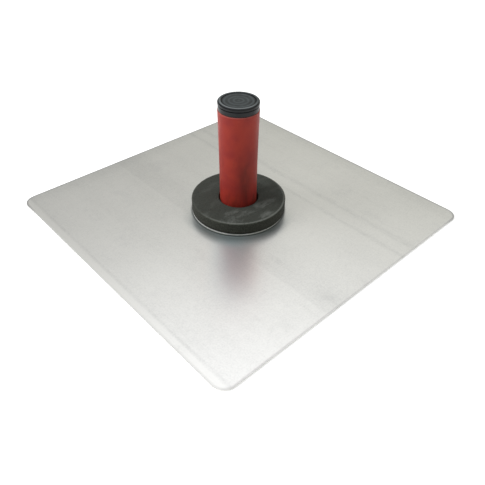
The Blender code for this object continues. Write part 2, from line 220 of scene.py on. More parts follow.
class Finish:
    """A Principled material, with short names for the nodes that vary it over the surface.

    Sizes are the sizes of the pattern's features in metres, in the piece's own space.
    """

    def __init__(self, name, constants):
        self.material = bpy.data.materials.new(name)
        self.material.use_nodes = True
        self.tree = self.material.node_tree
        self.shader = self.tree.nodes["Principled BSDF"]
        for socket, value in constants.items():
            self.shader.inputs[socket].default_value = value
        coordinates = self.add("ShaderNodeTexCoord")
        self.place = coordinates.outputs["Object"]
        self.x, self.y, self.z = self.parts(self.place)
        self.up = self.parts(coordinates.outputs["Normal"])[2]

    def parts(self, vector):
        node = self.add("ShaderNodeSeparateXYZ")
        self.put(node.inputs[0], vector)
        return node.outputs

    def add(self, kind, **settings):
        node = self.tree.nodes.new(kind)
        for key, value in settings.items():
            setattr(node, key, value)
        return node

    def put(self, socket, value):
        """Links an output to a socket, or sets the socket's own value."""
        if isinstance(value, bpy.types.NodeSocket):
            self.tree.links.new(value, socket)
        else:
            socket.default_value = value

    def math(self, operation, first, second=0.0, third=0.0):
        node = self.add("ShaderNodeMath", operation=operation)
        for socket, value in zip(node.inputs, (first, second, third)):
            self.put(socket, value)
        return node.outputs[0]

    def scaled(self, size, shift=(0.0, 0.0, 0.0)):
        sizes = size if isinstance(size, tuple) else (size, size, size)
        node = self.add("ShaderNodeVectorMath", operation="MULTIPLY_ADD")
        self.put(node.inputs[0], self.place)
        self.put(node.inputs[1], tuple(1.0 / s for s in sizes))
        self.put(node.inputs[2], shift)
        return node.outputs[0]

    def noise(self, size, detail=2.0, rough=0.5, shift=0.0, distortion=0.0):
        node = self.add("ShaderNodeTexNoise")
        self.put(node.inputs["Vector"], self.scaled(size, (shift, shift, shift)))
        self.put(node.inputs["Scale"], 1.0)
        self.put(node.inputs["Detail"], detail)
        self.put(node.inputs["Roughness"], rough)
        self.put(node.inputs["Distortion"], distortion)
        return node.outputs[0]

    def cells(self, size, shift=0.0):
        """Distance to the middle of the nearest cell, for pores and pits."""
        node = self.add("ShaderNodeTexVoronoi")
        self.put(node.inputs["Vector"], self.scaled(size, (shift, shift, shift)))
        self.put(node.inputs["Scale"], 1.0)
        return node.outputs["Distance"]

    def spread(self, value, start, end, low_value=0.0, high_value=1.0):
        """Eases from low_value to high_value while value goes from start to end."""
        node = self.add("ShaderNodeMapRange", interpolation_type="SMOOTHSTEP")
        for socket, number in zip(node.inputs, (value, start, end, low_value, high_value)):
            self.put(socket, number)
        return node.outputs[0]

    def near(self, value, middle, width):
        """1 at middle, easing to 0 at width either side."""
        distance = self.math("ABSOLUTE", self.math("SUBTRACT", value, middle))
        return self.spread(distance, 0.0, width, 1.0, 0.0)

    def from_axis(self):
        """Distance from the tool's axis."""
        return self.length(self.x, self.y)

    def length(self, first, second):
        square = self.math("MULTIPLY", second, second)
        return self.math("SQRT", self.math("MULTIPLY_ADD", first, first, square))

    def along(self, turn):
        """Distance from the axis in the direction that is turned this far from -Y."""
        ahead = self.math("MULTIPLY", self.y, -math.cos(turn))
        return self.math("MULTIPLY_ADD", self.x, math.sin(turn), ahead)

    def from_edge(self, half_side, corner):
        """Distance inwards from the outline of a square with rounded corners."""
        across = self.math("SUBTRACT", self.math("ABSOLUTE", self.x), half_side - corner)
        along = self.math("SUBTRACT", self.math("ABSOLUTE", self.y), half_side - corner)
        inside = self.math("MINIMUM", self.math("MAXIMUM", across, along), 0.0)
        outside = self.length(self.math("MAXIMUM", across, 0.0), self.math("MAXIMUM", along, 0.0))
        return self.math("SUBTRACT", corner, self.math("ADD", inside, outside))

    def blend(self, share, first, second):
        """A colour between first and second."""
        node = self.add("ShaderNodeMix", data_type="RGBA")
        self.put(node.inputs["Factor"], share)
        for index, colour in zip(MIX_COLOURS, (first, second)):
            linked = isinstance(colour, bpy.types.NodeSocket)
            self.put(node.inputs[index], colour if linked else (*colour, 1.0))
        return node.outputs[MIX_RESULT]

    def colour(self, value):
        self.put(self.shader.inputs["Base Color"], value)

    def roughness(self, value):
        self.put(self.shader.inputs["Roughness"], value)

    def bump(self, *layers):
        """Relief from (height, distance) layers, each a pattern and the depth that it stands for."""
        normal = None
        for height, distance in layers:
            node = self.add("ShaderNodeBump")
            self.put(node.inputs["Height"], height)
            self.put(node.inputs["Distance"], distance)
            if normal:
                self.put(node.inputs["Normal"], normal)
            normal = node.outputs[0]
        self.put(self.shader.inputs["Normal"], normal)


METAL = {"Metallic": 1.0}
# A metal whose film scatters some of the light.
HAZY_SHEET = {"Metallic": 0.80, "Specular IOR Level": 0.0}
DULL_SHEET = {"Metallic": 0.55, "Specular IOR Level": 0.0}
# The least roughness of a gloss that still renders without noise.
LEAST_ROUGH = 0.28

# The way that the dark smear on the grip faces, and its half width.
SMEAR_TURN = math.radians(-20)
SMEAR_WIDTH = 12.0 * MM
# Where dust has settled on the foam ring, and where its top edge is pale, partly from wear and partly as
# painted highlight.
DUST_TURN = math.radians(-18)
PALE_EDGE_TURN = math.radians(0)
# The foam's open pits and its foot, darkened up to this height as painted shade, have the same dark colour.
FOAM_DARK = (0.009, 0.010, 0.0085)
FOAM_FOOT_SHADE = 3.6 * MM
CAP_RING_PITCH = 4.4 * MM
# The way that the pale part of the cap's ring faces: wear from rubbing and painted highlight.
HIGHLIGHT_TURN = math.radians(-60)

# Where the rolling mill left lines along the sheet: distance from the middle, half width, and strength.
ROLL_LINES = (
    (-155.8 * MM, 2.2 * MM, 0.34),
    (63.8 * MM, 4.4 * MM, 0.42),
    (82.5 * MM, 6.5 * MM, 0.42),
)
ROLL_WANDER = 2.4 * MM
# A dull band along the sheet: where it starts, is full, begins to fade and ends.
ROLL_BAND = (-49.0 * MM, -45.0 * MM, -34.0 * MM, 2.0 * MM)
# A pale strip lies outside this line, and the two far sides, at +X and +Y, are darker past this distance.
PALE_STRIP = -157.5 * MM
PALE_EASE = 1.5 * MM
FAR_DARKENING = 142.0 * MM
# How far the painted shade reaches in from the cut edge, and the painted contact shade out from the disc.
EDGE_SHADE_REACH = 2.6 * MM
CONTACT_SHADE_REACH = 2.6 * MM
# On the side that this angle names, the sheet has a dark band by the disc, painted shade and painted
# reflection of the foam, and a faint bluish painted reflection of the handle beyond.
SHADE_AND_REFLECTION_TURN = math.radians(-43)
SHADE_REACH = 15.0 * MM
REFLECTION_ASIDE = -6.0 * MM
REFLECTION_WIDTH = 27.0 * MM
REFLECTION_REACH = 85.0 * MM


def blade_finish():
    """Mill-finish sheet, rolled along Y, with roller lines, painted shade along the cut edge, and painted
    shade and painted reflections round the disc.
    """
    finish = Finish("mill_aluminium", HAZY_SHEET)
    grain = finish.noise((1.6 * MM, 34 * MM, 1.0), detail=2.0)
    mottle = finish.noise(3.2 * MM, detail=3.0, rough=0.6, shift=7.0)
    bands = finish.noise((16 * MM, 700 * MM, 1.0), detail=3.0, rough=0.6, shift=3.0)
    cloud = finish.noise(70 * MM, detail=4.0, rough=0.55, shift=11.0)
    smudge = finish.spread(finish.noise(30 * MM, detail=5.0, rough=0.62, shift=5.3), 0.56, 0.72)
    broken = finish.noise((3 * MM, 16 * MM, 1.0), detail=3.0, shift=2.0)
    sway = finish.math("SUBTRACT", finish.noise((1.0, 40 * MM, 1.0), shift=4.0), 0.5)
    swayed = finish.math("MULTIPLY_ADD", sway, ROLL_WANDER, finish.x)

    lines = 0.0
    for middle, width, strength in ROLL_LINES:
        lines = finish.math("MULTIPLY_ADD", finish.near(swayed, middle, width), strength, lines)
    lines = finish.math("MULTIPLY", lines, finish.spread(broken, 0.3, 0.6, 0.45, 1.0))
    start, full, fade, end = ROLL_BAND
    fading = finish.spread(finish.x, fade, end, 1.0, 0.0)
    band = finish.math("MULTIPLY", finish.spread(finish.x, start, full), fading)
    pale = finish.spread(finish.x, PALE_STRIP - PALE_EASE, PALE_STRIP, 1.0, 0.0)
    half_side = radius("blade")
    far_side = finish.math("MAXIMUM", finish.x, finish.y)
    # Darker towards the two far sides, at +X and +Y.
    dim = finish.spread(far_side, FAR_DARKENING, half_side)

    speck = finish.noise(1.5 * MM, detail=2.0, shift=15.0)
    dull = finish.math("MULTIPLY_ADD", grain, 0.16, -0.42)
    for layer, weight in (
        (speck, 0.60),
        (mottle, 0.34),
        (bands, 0.20),
        (cloud, 0.36),
        (smudge, 0.14),
        (lines, 0.52),
        (band, 0.16),
        (pale, -0.22),
        (dim, 0.18),
    ):
        dull = finish.math("MULTIPLY_ADD", layer, weight, dull)
    sheet = finish.blend(finish.spread(dull, 0.13, 1.08), (0.90, 0.895, 0.875), (0.67, 0.67, 0.66))
    inwards = finish.from_edge(half_side, BLADE_CORNER_R)
    # Painted shade: the sheet darkens along its cut edge, most of all on the far sides and along -Y.
    cut_edge_shade = finish.spread(inwards, 0.3 * EDGE_SHADE_REACH, EDGE_SHADE_REACH, 1.0, 0.0)
    far_edge_shade = finish.spread(far_side, 0.75 * half_side, 0.98 * half_side, 0.12, 0.8)
    near_edge_shade = finish.spread(finish.y, -0.98 * half_side, -0.95 * half_side, 0.25, 0.0)
    darkness = finish.math("MULTIPLY", cut_edge_shade, finish.math("MAXIMUM", far_edge_shade, near_edge_shade))
    edged = finish.blend(darkness, sheet, (0.40, 0.40, 0.40))
    disc_r = radius("base_disc")
    facing = finish.along(SHADE_AND_REFLECTION_TURN)
    # Painted shade and painted reflection of the foam: a dark band beside the disc on one side.
    foam_shade = finish.spread(finish.from_axis(), disc_r, disc_r + SHADE_REACH, 1.0, 0.0)
    foam_shade = finish.math("MULTIPLY", foam_shade, finish.spread(facing, 0.0, 40 * MM))
    # Painted reflection of the handle: a faint bluish streak reaching out from the disc.
    handle_reflection = finish.near(finish.along(SHADE_AND_REFLECTION_TURN + math.pi / 2), REFLECTION_ASIDE, REFLECTION_WIDTH)
    handle_reflection = finish.math("MULTIPLY", handle_reflection, finish.near(facing, disc_r + 0.3 * REFLECTION_REACH, REFLECTION_REACH))
    reflected = finish.blend(finish.math("MULTIPLY", handle_reflection, 0.42), edged, (0.46, 0.76, 0.84))
    foam_shaded = finish.blend(finish.math("MULTIPLY", foam_shade, 0.7), reflected, (0.27, 0.325, 0.335))
    upper = finish.spread(finish.up, 0.0, 0.5)
    # Painted shade: a dark ring on the sheet close round the disc, on faces that look up.
    darkening = finish.spread(finish.from_axis(), disc_r, disc_r + CONTACT_SHADE_REACH, 1.0, 0.0)
    darkening = finish.math("MULTIPLY", darkening, upper)
    contact_shaded = finish.blend(finish.math("MULTIPLY", darkening, 0.85), foam_shaded, (0.13, 0.15, 0.145))
    finish.colour(finish.blend(upper, edged, contact_shaded))

    rough = finish.math("MULTIPLY_ADD", mottle, 0.03, LEAST_ROUGH)
    for layer, weight in ((smudge, 0.04), (lines, 0.04), (cut_edge_shade, 0.1), (darkening, 0.25)):
        rough = finish.math("MULTIPLY_ADD", layer, weight, rough)
    finish.roughness(rough)
    finish.bump((grain, 0.0015 * MM), (mottle, 0.0035 * MM))
    return finish.material


def disc_finish():
    """Dull flat sheet with worn patches; its rim is pale along the top edge, partly as painted highlight, and
    darker towards the blade as painted shade.
    """
    finish = Finish("disc_aluminium", DULL_SHEET)
    bottom, top = low("base_disc"), high("base_disc")
    scuff = finish.noise(9 * MM, detail=4.0, rough=0.6)
    wear = finish.noise(26 * MM, detail=2.0, shift=5.0)
    grain = finish.noise((0.8 * MM, 30 * MM, 1.0), detail=2.0)
    share = finish.spread(finish.math("MULTIPLY_ADD", grain, 0.3, scuff), 0.45, 0.95)
    # The pale colour is partly painted highlight, for the bright line along the rim's top edge.
    dull = finish.blend(share, (0.86, 0.87, 0.85), (0.62, 0.63, 0.62))
    worn = finish.blend(finish.spread(wear, 0.3, 0.8), dull, (0.52, 0.53, 0.52))
    thick = top - bottom
    # Painted shade: the rim darkens towards the blade.
    darkening = finish.spread(finish.z, bottom + 0.1 * thick, bottom + 0.48 * thick, 1.0, 0.0)
    finish.colour(finish.blend(finish.math("MULTIPLY", darkening, 0.93), worn, (0.055, 0.06, 0.057)))
    finish.roughness(finish.math("MULTIPLY_ADD", scuff, 0.2, 0.4))
    finish.bump((scuff, 0.01 * MM))
    return finish.material


def rivet_finish():
    """Aluminium rivet: faint hammer marks and grime in the low spots."""
    finish = Finish("rivet_aluminium", METAL)
    dents = finish.noise(1.6 * MM, detail=3.0)
    share = finish.spread(finish.noise(0.6 * MM, detail=4.0, shift=4.0), 0.4, 0.7)
    finish.colour(finish.blend(share, (0.74, 0.74, 0.72), (0.55, 0.55, 0.53)))
    finish.roughness(finish.math("MULTIPLY_ADD", dents, 0.25, LEAST_ROUGH))
    finish.bump((dents, 0.03 * MM))
    return finish.material


def steel_finish():
    """Bright zinc plate with faint blue and yellow passivation tints."""
    finish = Finish("zinc_plated_steel", METAL)
    tint = finish.noise(5 * MM, detail=3.0, shift=1.0)
    speck = finish.noise(0.5 * MM, detail=4.0)
    finish.colour(finish.blend(finish.spread(tint, 0.35, 0.65), (0.58, 0.61, 0.66), (0.66, 0.64, 0.56)))
    finish.roughness(finish.math("MULTIPLY_ADD", speck, 0.2, LEAST_ROUGH))
    finish.bump((speck, 0.01 * MM))
    return finish.material


def brass_finish():
    """Turned brass, slightly tarnished."""
    finish = Finish("turned_brass", METAL)
    marks = finish.noise((30 * MM, 30 * MM, 0.15 * MM), detail=2.0)
    tarnish = finish.spread(finish.noise(4 * MM, detail=4.0), 0.45, 0.75)
    finish.colour(finish.blend(tarnish, (0.78, 0.57, 0.26), (0.50, 0.34, 0.15)))
    finish.roughness(finish.math("MULTIPLY_ADD", tarnish, 0.2, LEAST_ROUGH))
    finish.bump((marks, 0.01 * MM))
    return finish.material


def foam_finish():
    """Closed-cell foam rubber: fine cells, plaster dust on the top, a pale top edge of wear and painted
    highlight, and painted shade at the foot.
    """
    finish = Finish("foam_rubber", {"Specular IOR Level": 0.12, "Sheen Weight": 0.05, "Sheen Roughness": 0.6})
    finish.roughness(0.95)
    foot_z, top_z, outer = low("callus_guard"), high("callus_guard"), radius("callus_guard")
    pores = finish.spread(finish.cells(0.9 * MM), 0.1, 0.6)
    pits = finish.spread(finish.cells(2.3 * MM, shift=9.0), 0.08, 0.3, 1.0, 0.0)
    skin = finish.noise(1.1 * MM, detail=5.0, rough=0.7)
    patch = finish.noise((24 * MM, 13 * MM, 20 * MM), detail=6.0, rough=0.66, shift=2.0)
    top = finish.spread(finish.up, 0.6, 0.95)
    dust = finish.math("MULTIPLY", finish.spread(patch, 0.46, 0.66), top)
    settled = finish.spread(finish.along(DUST_TURN), 8 * MM, 32 * MM)
    dust = finish.math("MULTIPLY", dust, finish.math("MULTIPLY_ADD", settled, 0.75, 0.25))
    # Wear and painted highlight: the top outer edge is paler, most of all on one side.
    ring = finish.near(finish.from_axis(), outer - 1.2 * MM, 1.6 * MM)
    edge = finish.math("MULTIPLY", ring, finish.spread(finish.z, top_z - 1.6 * MM, top_z - 0.3 * MM))
    pale_side = finish.spread(finish.along(PALE_EDGE_TURN), -10 * MM, 34 * MM, 0.12, 1.0)
    edge = finish.math("MULTIPLY", edge, pale_side)
    base = finish.blend(finish.spread(skin, 0.35, 0.7), (0.018, 0.0195, 0.015), (0.056, 0.058, 0.047))
    raised_tone = finish.blend(finish.math("MULTIPLY", top, 0.8), base, (0.040, 0.044, 0.038))
    dusty = finish.blend(finish.math("MULTIPLY", dust, 0.85), raised_tone, (0.105, 0.112, 0.103))
    worn = finish.blend(finish.math("MULTIPLY", edge, 0.7), dusty, (0.15, 0.16, 0.145))
    # Painted shade: the foam darkens towards its foot, where it sits on the disc.
    foot_shade = finish.spread(finish.z, foot_z, foot_z + FOAM_FOOT_SHADE, 0.8, 0.0)
    dark = finish.math("MAXIMUM", foot_shade, finish.math("MULTIPLY", pits, 0.7))
    finish.colour(finish.blend(dark, worn, FOAM_DARK))
    finish.bump((skin, 0.14 * MM), (pores, 0.12 * MM), (pits, -0.14 * MM))
    return finish.material


def core_finish():
    """Moulded black plastic with a fine spark-eroded texture."""
    finish = Finish("core_plastic", {"Specular IOR Level": 0.4})
    texture = finish.noise(0.35 * MM, detail=3.0)
    haze = finish.noise(12 * MM, detail=3.0)
    finish.colour(finish.blend(haze, (0.018, 0.018, 0.019), (0.035, 0.035, 0.036)))
    finish.roughness(finish.math("MULTIPLY_ADD", texture, 0.2, 0.42))
    finish.bump((texture, 0.03 * MM))
    return finish.material


def grip_finish():
    """Soft red rubber: fine moulding lines, a dark smear down one side, a foot darkened by soiling and
    painted shade, a pale top edge.
    """
    finish = Finish("grip_rubber", {"Specular IOR Level": 0.22})
    foot, top = low("grip_sleeve"), high("grip_sleeve")
    tall = top - foot
    darkening = finish.noise((7 * MM, 7 * MM, 26 * MM), detail=5.0, rough=0.6, shift=4.0)
    scuff = finish.noise((3 * MM, 3 * MM, 7 * MM), detail=5.0, rough=0.7, shift=8.0)
    cloud = finish.noise(16 * MM, detail=3.0, shift=1.0)
    skin = finish.noise(0.45 * MM, detail=4.0, rough=0.6)
    lathe = finish.noise((60 * MM, 60 * MM, 0.9 * MM), detail=2.0)
    # Painted shade: the grip darkens towards its foot, by the foam.
    depth = finish.spread(finish.z, foot, foot + 0.34 * tall, 1.0, 0.0)
    across = finish.near(finish.along(SMEAR_TURN + math.pi / 2), 0.0, SMEAR_WIDTH)
    smear = finish.math("MULTIPLY", across, finish.spread(finish.along(SMEAR_TURN), 0.0, 12 * MM))
    smear = finish.math("MULTIPLY", smear, finish.near(finish.z, foot + 0.36 * tall, 0.42 * tall))
    smear = finish.math("MULTIPLY", smear, finish.spread(darkening, 0.25, 0.62, 0.5, 1.0))
    # Soiling noise mixed with the painted shade towards the foot.
    dirt_and_shade = finish.spread(finish.math("MULTIPLY_ADD", depth, 0.24, darkening), 0.56, 0.84)
    base = finish.blend(finish.spread(cloud, 0.3, 0.7), (0.310, 0.030, 0.018), (0.242, 0.021, 0.017))
    dirty_and_shaded = finish.blend(finish.math("MULTIPLY", dirt_and_shade, 0.55), base, (0.085, 0.014, 0.010))
    smeared = finish.blend(finish.math("MULTIPLY", smear, 0.62), dirty_and_shaded, (0.060, 0.012, 0.009))
    dusty = finish.math("MULTIPLY", finish.spread(scuff, 0.58, 0.76), 0.10)
    scuffed = finish.blend(dusty, smeared, (0.40, 0.15, 0.13))
    lip = finish.spread(finish.z, top - 0.9 * MM, top - 0.3 * MM, 0.0, 0.3)
    finish.colour(finish.blend(lip, scuffed, (0.42, 0.20, 0.18)))
    finish.roughness(finish.math("MULTIPLY_ADD", scuff, 0.2, 0.36))
    finish.bump((skin, 0.02 * MM), (scuff, 0.04 * MM), (lathe, 0.02 * MM))
    return finish.material


def cap_finish():
    """Moulded blue-black plastic with faint turned rings on top; dust on its flat faces and a pale ring,
    partly wear from rubbing and partly painted highlight.
    """
    finish = Finish("cap_plastic", {"Specular IOR Level": 0.32})
    texture = finish.noise(0.3 * MM, detail=3.0)
    patch = finish.noise(7 * MM, detail=4.0, rough=0.6, distortion=0.6)
    top = finish.spread(finish.up, 0.9, 0.995)
    wobble = finish.math("MULTIPLY_ADD", patch, 1.6 * MM, finish.from_axis())
    rings = finish.math("SINE", finish.math("MULTIPLY", wobble, 2 * math.pi / CAP_RING_PITCH))
    rings = finish.math("MULTIPLY", finish.spread(rings, -0.4, 0.9), top)
    # Wear and painted highlight: a paler arc of the ring on one side.
    rubbed_and_highlit = finish.near(finish.from_axis(), CAP_RING_INNER_R + 0.9 * MM, 1.5 * MM)
    rubbed_and_highlit = finish.math("MULTIPLY", rubbed_and_highlit, finish.spread(finish.along(HIGHLIGHT_TURN), -6 * MM, 14 * MM))
    rubbed_and_highlit = finish.math("MULTIPLY", rubbed_and_highlit, top)
    dust = finish.math("MULTIPLY", top, finish.spread(patch, 0.3, 0.7, 0.3, 1.0))
    base = finish.blend(patch, (0.0030, 0.0038, 0.0050), (0.0060, 0.0072, 0.0090))
    dusty = finish.blend(dust, base, (0.036, 0.044, 0.049))
    ringed = finish.blend(finish.math("MULTIPLY", rings, 0.55), dusty, (0.074, 0.086, 0.095))
    finish.colour(finish.blend(finish.math("MULTIPLY", rubbed_and_highlit, 0.85), ringed, (0.19, 0.205, 0.215)))
    finish.roughness(finish.math("MULTIPLY_ADD", patch, 0.1, LEAST_ROUGH))
    finish.bump((texture, 0.01 * MM), (patch, 0.03 * MM), (rings, 0.03 * MM))
    return finish.material


# ---------------------------------------------------------------- board

BLADE_CORNER_R = 12.7 * MM
BLADE_EASE = 0.4 * MM
# The sheet's two flat faces begin this far in from its edge.
BLADE_RIM = 1.2 * MM
CORNER_STEPS = 24
DISC_EASE = 0.35 * MM
DISC_HOLE_EASE = 0.15 * MM

HEAD_RECESS = 0.12 * MM
RIVETS = ("rivet_1", "rivet_2", "rivet_3", "rivet_4")
RIVET_SHANK_R = 2.4 * MM
RIVET_HEAD_R = 4.0 * MM
RIVET_HEAD_DEPTH = 1.25 * MM
# How far the rim of a rivet's head lies below its crown, and the fillet on that rim.
RIVET_CROWN = 0.06 * MM
RIVET_EASE = 0.08 * MM

STUD_HEAD_R = 7.7 * MM
STUD_EASE = 0.1 * MM
THREAD_MAJOR_R = 4.7625 * MM
THREAD_PITCH = 1.5875 * MM
THREAD_DEPTH = 0.6134 * THREAD_PITCH
THREAD_ROWS_PER_PITCH = 14
THREAD_STEPS = 64
# The thread starts this far above the washer's seat, and its tip is chamfered over this height.
THREAD_START = 0.5 * MM
STUD_TIP = 1.1 * MM
STUD_TIP_SLOPE = 1.05
SEAT_Z = low("lock_washer")

WASHER_INNER_R = 5.1 * MM
WASHER_EASE = 0.25 * MM
WASHER_SWEEP = math.radians(352)
NUT_FLAT_R = 7.14375 * MM
NUT_CHAMFER = 0.6 * MM


def rounded_square(inset, z):
    """The blade's outline, moved inwards by inset, as points at height z."""
    corner = BLADE_CORNER_R - inset
    centre = radius("blade") - BLADE_CORNER_R
    points = []
    for quarter, (sign_x, sign_y) in enumerate(((1, 1), (-1, 1), (-1, -1), (1, -1))):
        for i in range(CORNER_STEPS + 1):
            angle = math.pi / 2 * (quarter + i / CORNER_STEPS)
            x = sign_x * centre + corner * math.cos(angle)
            y = sign_y * centre + corner * math.sin(angle)
            points.append((x, y, z))
    return points


def rivet_axis(node):
    corner_low, corner_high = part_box(node)
    return (corner_low + corner_high) / 2


def stud_cone_r(z):
    share = (z - HEAD_RECESS) / (SEAT_Z - HEAD_RECESS)
    return STUD_HEAD_R + share * (THREAD_MAJOR_R - STUD_HEAD_R)


def stud_hole():
    """Cutter: the stud's countersunk head, grown by the fit gap."""
    corners = [
        (0.0, SEAT_Z),
        (stud_cone_r(SEAT_Z) + FIT_GAP, SEAT_Z),
        (stud_cone_r(-CUT_PAST) + FIT_GAP, -CUT_PAST),
        (0.0, -CUT_PAST),
    ]
    return turned(outline(corners, closed=False), SMALL_STEPS, closed=False)


def rivet_hole(node):
    """Cutter: the rivet's own shape, grown by the fit gap and run past the faces."""
    bottom, top = low(node), high(node)
    slope = (RIVET_HEAD_R - RIVET_SHANK_R) / RIVET_HEAD_DEPTH
    past = HEAD_RECESS + CUT_PAST
    mouth_r = RIVET_HEAD_R + FIT_GAP + slope * past
    corners = [
        (0.0, top + past),
        (mouth_r, top + past),
        (RIVET_SHANK_R + FIT_GAP, top - RIVET_HEAD_DEPTH),
        (RIVET_SHANK_R + FIT_GAP, bottom + RIVET_HEAD_DEPTH),
        (mouth_r, bottom - past),
        (0.0, bottom - past),
    ]
    bm = turned(outline(corners, closed=False), SMALL_STEPS, closed=False)
    axis = rivet_axis(node)
    bmesh.ops.translate(bm, verts=bm.verts, vec=(axis.x, axis.y, 0.0))
    return bm


def add_blade(finish):
    """Flat sheet with eased edges and countersunk holes in the middle."""
    thick = high("blade")
    section = [
        (BLADE_RIM, 0.0),
        (0.0, 0.0, BLADE_EASE),
        (0.0, thick, BLADE_EASE),
        (BLADE_RIM, thick),
    ]
    rings = [rounded_square(point.x, point.y) for point in outline(section, closed=False)]
    cutters = [stud_hole(), *(rivet_hole(node) for node in RIVETS)]
    add_piece("sheet_blade", carved(skinned(rings), cutters), finish, "board", "blade", "blade")


def add_base_disc(finish):
    """Flat disc with eased rims; its middle hole follows the cone of the stud's head."""
    bottom, top, rim = low("base_disc"), high("base_disc"), radius("base_disc")
    corners = [
        (stud_cone_r(top) + FIT_GAP, top, DISC_HOLE_EASE),
        (rim, top, DISC_EASE),
        (rim, bottom, DISC_EASE),
        (stud_cone_r(bottom) + FIT_GAP, bottom, DISC_HOLE_EASE),
    ]
    bm = carved(turned(outline(corners)), [rivet_hole(node) for node in RIVETS])
    add_piece("backing_disc", bm, finish, "board", "disc", "base_disc")


def add_rivets(finish):
    """A short shank between two equal countersunk heads, each slightly crowned by the hammer."""
    for number, node in enumerate(RIVETS, start=1):
        axis = rivet_axis(node)
        bottom, top = low(node), high(node)
        corners = [
            (0.0, top),
            (0.5 * RIVET_HEAD_R, top - 0.25 * RIVET_CROWN),
            (RIVET_HEAD_R, top - RIVET_CROWN, RIVET_EASE),
            (RIVET_SHANK_R, top - RIVET_HEAD_DEPTH),
            (RIVET_SHANK_R, bottom + RIVET_HEAD_DEPTH),
            (RIVET_HEAD_R, bottom + RIVET_CROWN, RIVET_EASE),
            (0.5 * RIVET_HEAD_R, bottom + 0.25 * RIVET_CROWN),
            (0.0, bottom),
        ]
        bm = turned(outline(corners, closed=False), SMALL_STEPS, closed=False)
        bmesh.ops.translate(bm, verts=bm.verts, vec=(axis.x, axis.y, 0.0))
        add_piece(f"flush_rivet_{number}", bm, finish, "board", "rivet", node)


def thread_r(angle, z):
    """Radius of a right-hand thread: flat roots and crests joined by straight flanks."""
    phase = (z / THREAD_PITCH - angle / (2 * math.pi)) % 1.0
    flank = min(1.0, max(0.0, 3.0 * abs(phase - 0.5) - 0.375))
    return THREAD_MAJOR_R - THREAD_DEPTH * flank


def add_stud(finish):
    """Countersunk head, threaded shank and chamfered tip as one skin of rings."""
    tip_z = high("stud")
    angles = [2 * math.pi * i / THREAD_STEPS for i in range(THREAD_STEPS)]

    def ring(z, radius_at):
        return [(radius_at(a) * math.cos(a), radius_at(a) * math.sin(a), z) for a in angles]

    start = SEAT_Z + THREAD_START
    rows = round((tip_z - start) / THREAD_PITCH * THREAD_ROWS_PER_PITCH)
    rings = [
        ring(HEAD_RECESS, lambda a: STUD_HEAD_R - STUD_EASE),
        ring(HEAD_RECESS + STUD_EASE, lambda a: STUD_HEAD_R - 0.2 * STUD_EASE),
        ring(SEAT_Z, lambda a: THREAD_MAJOR_R),
    ]
    for row in range(rows + 1):
        z = start + (tip_z - start) * row / rows
        chamfer = THREAD_MAJOR_R - max(0.0, z - (tip_z - STUD_TIP)) * STUD_TIP_SLOPE
        rings.append(ring(z, lambda a, z=z, chamfer=chamfer: min(thread_r(a, z), chamfer)))
    add_piece("threaded_stud", skinned(rings), finish, "board", "steel", "stud")


def add_lock_washer(finish):
    """Square-section spring ring, split by a narrow gap."""
    bottom, top, outer = low("lock_washer"), high("lock_washer"), radius("lock_washer")
    corners = [
        (WASHER_INNER_R, bottom, WASHER_EASE),
        (outer, bottom, WASHER_EASE),
        (outer, top, WASHER_EASE),
        (WASHER_INNER_R, top, WASHER_EASE),
    ]
    section = outline(corners)
    rings = []
    for step in range(SMALL_STEPS + 1):
        angle = WASHER_SWEEP * step / SMALL_STEPS
        rings.append([(p.x * math.cos(angle), p.x * math.sin(angle), p.y) for p in section])
    add_piece("spring_washer", skinned(rings), finish, "board", "steel", "lock_washer")


def add_stud_nut(finish):
    """Hexagon jam nut: a chamfered ring cut to six flats."""
    bottom, top = low("stud_nut"), high("stud_nut")
    corner_r = NUT_FLAT_R / math.cos(math.pi / 6)
    blank_r = corner_r + 0.1 * MM
    bore_r = THREAD_MAJOR_R + FIT_GAP
    corners = [
        (bore_r, top - 0.5 * NUT_CHAMFER),
        (bore_r + 0.5 * NUT_CHAMFER, top),
        (NUT_FLAT_R, top),
        (blank_r, top - NUT_CHAMFER),
        (blank_r, bottom + NUT_CHAMFER),
        (NUT_FLAT_R, bottom),
        (bore_r + 0.5 * NUT_CHAMFER, bottom),
        (bore_r, bottom + 0.5 * NUT_CHAMFER),
    ]
    flats = bmesh.new()
    bmesh.ops.create_cone(
        flats,
        cap_ends=True,
        segments=6,
        radius1=corner_r,
        radius2=corner_r,
        depth=top - bottom + 2 * CUT_PAST,
    )
    raised(flats, (bottom + top) / 2)
    bm = carved(turned(outline(corners), SMALL_STEPS), [flats], "INTERSECT")
    add_piece("jam_nut", bm, finish, "board", "steel", "stud_nut")


# ---------------------------------------------------------------- guard

GUARD_HOLE_R = 20.6 * MM
GUARD_EASE = 1.3 * MM
GUARD_ROW = 0.9 * MM
GUARD_STEPS = 300
# The foam's skin is uneven by these depths, over a fine grain and a broad wave of these sizes.
GUARD_SKIN = 0.06 * MM
GUARD_SAG = 0.16 * MM
GUARD_GRAIN = 1.6 * MM
GUARD_WAVE = 17 * MM
# The ring fits loosely, so it rests a little off the axis.
GUARD_PLAY = Vector((0.27, -0.25, 0.0)) * MM


